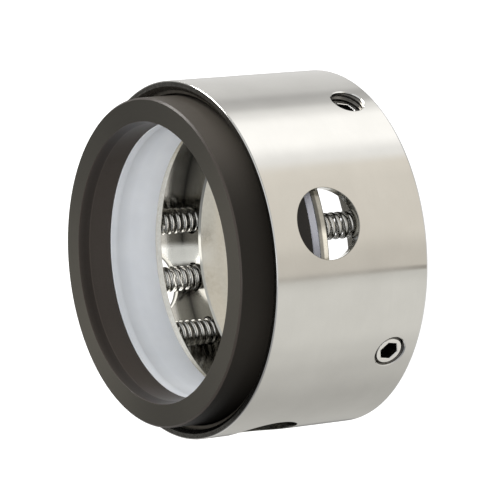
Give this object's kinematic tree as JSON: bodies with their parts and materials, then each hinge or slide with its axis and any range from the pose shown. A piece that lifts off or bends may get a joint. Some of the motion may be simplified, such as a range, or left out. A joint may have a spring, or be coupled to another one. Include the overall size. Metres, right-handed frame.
{
  "type": "component mechanical seal",
  "caption": "Rotary unit of a pusher mechanical seal: sprung face ring and PTFE wedge in a windowed steel retainer that clamps on a 60 mm shaft.",
  "frame": {"origin": "centre of the retainer's back face, on the seal's axis, where the part stands", "axes": "+Z along the seal's axis, from the back face to the sealing face; +X through the centre of one round window"},
  "size_m": [0.079, 0.079, 0.0463],
  "materials": {
    "polished_steel": "turned and polished stainless steel",
    "dark_ceramic": "ground dark silicon carbide, lapped face",
    "white_ptfe": "waxy white PTFE",
    "turned_steel": "fine turned stainless steel",
    "dark_steel": "blackened spring steel",
    "spring_steel": "bright drawn stainless wire",
    "screw_steel": "stainless steel, machined socket"
  },
  "bodies": {
    "retainer": {"retainer": "polished_steel", "snap_ring": "dark_steel", "spring_01": "spring_steel", "spring_02": "spring_steel", "spring_03": "spring_steel", "spring_04": "spring_steel", "spring_05": "spring_steel", "spring_06": "spring_steel", "spring_07": "spring_steel", "spring_08": "spring_steel", "spring_09": "spring_steel", "spring_10": "spring_steel", "spring_11": "spring_steel", "spring_12": "spring_steel"},
    "seal_head": {"face_ring": "dark_ceramic", "wedge_ring": "white_ptfe", "thrust_disc": "turned_steel", "drive_pin_1": "turned_steel", "drive_pin_2": "turned_steel"},
    "screw_1": {"set_screw_1": "screw_steel"},
    "screw_2": {"set_screw_2": "screw_steel"},
    "screw_3": {"set_screw_3": "screw_steel"},
    "screw_4": {"set_screw_4": "screw_steel"}
  },
  "joints": [
    {"name": "head_slide", "type": "slide", "parent": "retainer", "child": "seal_head", "axis": [0, 0, -1], "range_m": [0, 0.003], "stiffness_N_per_m": 30000, "springref_m": -0.001, "deforming": ["spring_01", "spring_02", "spring_03", "spring_04", "spring_05", "spring_06", "spring_07", "spring_08", "spring_09", "spring_10", "spring_11", "spring_12"]},
    {"name": "screw_1_travel", "type": "slide", "parent": "retainer", "child": "screw_1", "axis": [-0.7071, -0.7071, 0], "range_m": [-0.0022, 0.0013]},
    {"name": "screw_2_travel", "type": "slide", "parent": "retainer", "child": "screw_2", "axis": [0.7071, -0.7071, 0], "range_m": [-0.0012, 0.0023]},
    {"name": "screw_3_travel", "type": "slide", "parent": "retainer", "child": "screw_3", "axis": [0.7071, 0.7071, 0], "range_m": [-0.0012, 0.0023]},
    {"name": "screw_4_travel", "type": "slide", "parent": "retainer", "child": "screw_4", "axis": [-0.7071, 0.7071, 0], "range_m": [-0.00045, 0.00305]}
  ]
}
